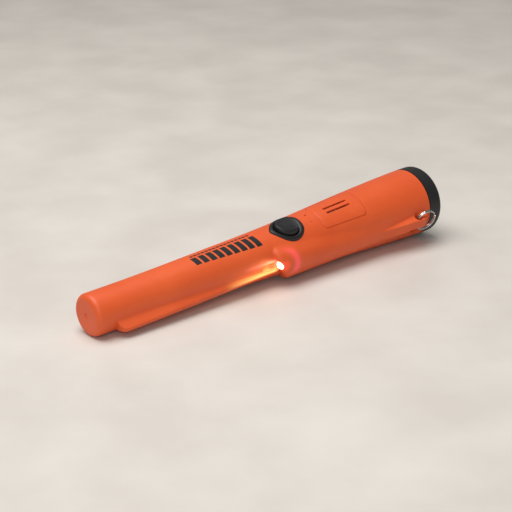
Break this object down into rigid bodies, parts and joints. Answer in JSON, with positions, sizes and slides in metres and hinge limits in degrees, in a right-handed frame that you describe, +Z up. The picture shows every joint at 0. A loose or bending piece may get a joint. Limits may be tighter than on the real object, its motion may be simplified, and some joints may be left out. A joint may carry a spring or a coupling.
{
  "type": "pinpointer probe",
  "caption": "Handheld metal-detecting probe: tapered waterproof barrel with push button, lamp, speaker, scraping blade, screw-on battery cap and lanyard ring.",
  "frame": {"origin": "centre of the footprint of the probe's box, on the surface that it rests on", "axes": "+X from the nose to the battery cap, +Z up as it lies at rest, the lamp, blade and lanyard lug towards -Y; the barrel's axis rises towards the cap and the button leans towards -Y"},
  "size_m": [0.2298, 0.0424, 0.0384],
  "materials": {
    "housing_orange": "satin",
    "rubber_black": "matte",
    "cap_black": "satin",
    "lamp_clear": "gloss",
    "ring_steel": "polished",
    "ferrite": "matte",
    "coil_copper": "satin",
    "former_white": "satin",
    "foam_grey": "matte",
    "board_green": "satin",
    "chip_black": "matte",
    "can_metal": "brushed",
    "screw_steel": "zinc",
    "switch_black": "matte",
    "magnet_steel": "plated",
    "cone_film": "satin",
    "membrane_white": "matte",
    "wire_black": "satin",
    "wire_red": "satin",
    "contact_brass": "polished",
    "battery_steel": "lacquered",
    "cell_wrap": "satin",
    "terminal_steel": "plated"
  },
  "bodies": {
    "housing": {"main_housing": "housing_orange", "speaker_cover": "housing_orange", "button_surround": "rubber_black", "tactile_switch": "switch_black", "led_lens": "lamp_clear", "led_base": "rubber_black", "led_leads": "terminal_steel", "nose_cushion": "foam_grey", "ferrite_core": "ferrite", "coil_former": "former_white", "receive_coil_front": "coil_copper", "transmit_coil": "coil_copper", "receive_coil_rear": "coil_copper", "coil_spacers": "foam_grey", "coil_leads": "coil_copper", "electronics_tray": "former_white", "main_board": "board_green", "board_screws": "screw_steel", "board_chips": "chip_black", "capacitors": "can_metal", "speaker_frame": "cap_black", "speaker_magnet": "magnet_steel", "speaker_cone": "cone_film", "speaker_membrane": "membrane_white", "speaker_gasket": "foam_grey", "speaker_leads": "wire_black", "motor_can": "magnet_steel", "motor_boot": "rubber_black", "motor_leads": "wire_red", "battery_bulkhead": "former_white", "contact_springs": "contact_brass", "battery_leads": "wire_red", "thread_collar": "cap_black", "cap_o_ring": "rubber_black"},
    "button": {"button_cap": "rubber_black", "button_post": "switch_black"},
    "switch_plunger_body": {"switch_plunger": "switch_black"},
    "battery": {"battery_jacket": "battery_steel", "battery_cells": "cell_wrap", "battery_end_plates": "switch_black", "battery_terminals": "terminal_steel", "battery_pad": "foam_grey"},
    "battery_cap_body": {"battery_cap": "cap_black"},
    "motor_rotor": {"motor_shaft": "screw_steel", "motor_weight": "magnet_steel"},
    "lanyard_ring_body": {"lanyard_ring": "ring_steel"}
  },
  "joints": [
    {"name": "button_press", "type": "slide", "parent": "housing", "child": "button", "axis": [0.0354, 0.342, -0.939], "range_m": [0, 0.001], "stiffness_N_per_m": 1500, "springref_m": -0.0005},
    {"name": "plunger_press", "type": "slide", "parent": "housing", "child": "switch_plunger_body", "axis": [0.0354, 0.342, -0.939], "range_m": [0, 0.0003]},
    {"name": "cap_turn", "type": "hinge", "parent": "battery", "child": "battery_cap_body", "pos_m": [0.10427, 0.00218, 0.01913], "axis": [0.9993, 0, 0.0376], "range_deg": [0, 720]},
    {"name": "battery_out", "type": "slide", "parent": "housing", "child": "battery", "axis": [0.9993, 0, 0.0376], "range_m": [0, 0.006]},
    {"name": "motor_spin", "type": "hinge", "parent": "housing", "child": "motor_rotor", "pos_m": [0.02758, -0.00839, 0.00962], "axis": [0.9993, 0, 0.0376], "continuous": true},
    {"name": "ring_swing", "type": "hinge", "parent": "housing", "child": "lanyard_ring_body", "pos_m": [0.09341, -0.01737, 0.01543], "axis": [0.0354, 0.342, -0.939], "range_deg": [0, 115]}
  ],
  "couplings": [
    {"joint": "plunger_press", "follows": "button_press", "ratio": 0.3},
    {"joint": "cap_turn", "follows": "battery_out", "rad_per_m": 2094.4}
  ]
}
